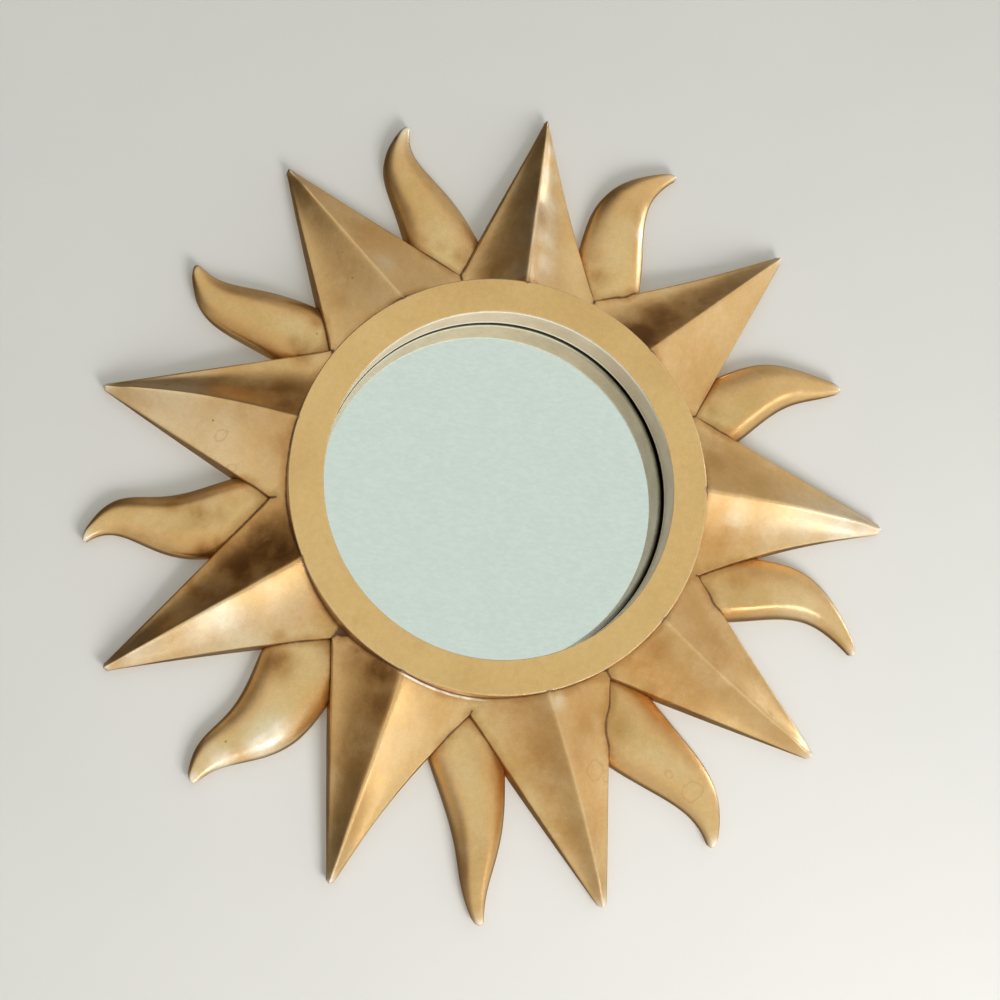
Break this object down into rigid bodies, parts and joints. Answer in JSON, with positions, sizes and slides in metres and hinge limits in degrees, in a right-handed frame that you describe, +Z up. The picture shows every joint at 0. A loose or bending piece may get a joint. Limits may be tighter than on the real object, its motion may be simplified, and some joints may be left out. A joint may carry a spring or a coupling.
{
  "type": "sunburst wall mirror",
  "caption": "Round wall mirror in a gilded cast sunburst frame, with faceted straight rays and wavy flame rays by turns, hung on a toothed strip at its back.",
  "frame": {"origin": "on the wall plane, at the middle of the toothed hanger's face, which is behind the topmost ray", "axes": "+Y into the wall, -Y towards the viewer, +Z up, +X to the viewer's right"},
  "size_m": [0.5916, 0.047, 0.6078],
  "materials": {
    "gilded_casting": "antique gold paint over a resin casting, satin, darker in the hollows",
    "mirror_glass": "silvered float glass, polished",
    "back_board": "brown hardboard, smooth side out",
    "zinc_steel": "zinc plated, dull"
  },
  "bodies": {
    "root": {"sunburst_frame": "gilded_casting", "mirror_glass": "mirror_glass", "back_board": "back_board", "toothed_hanger": "zinc_steel", "hanger_nail_left": "zinc_steel", "hanger_nail_right": "zinc_steel"}
  },
  "joints": []
}
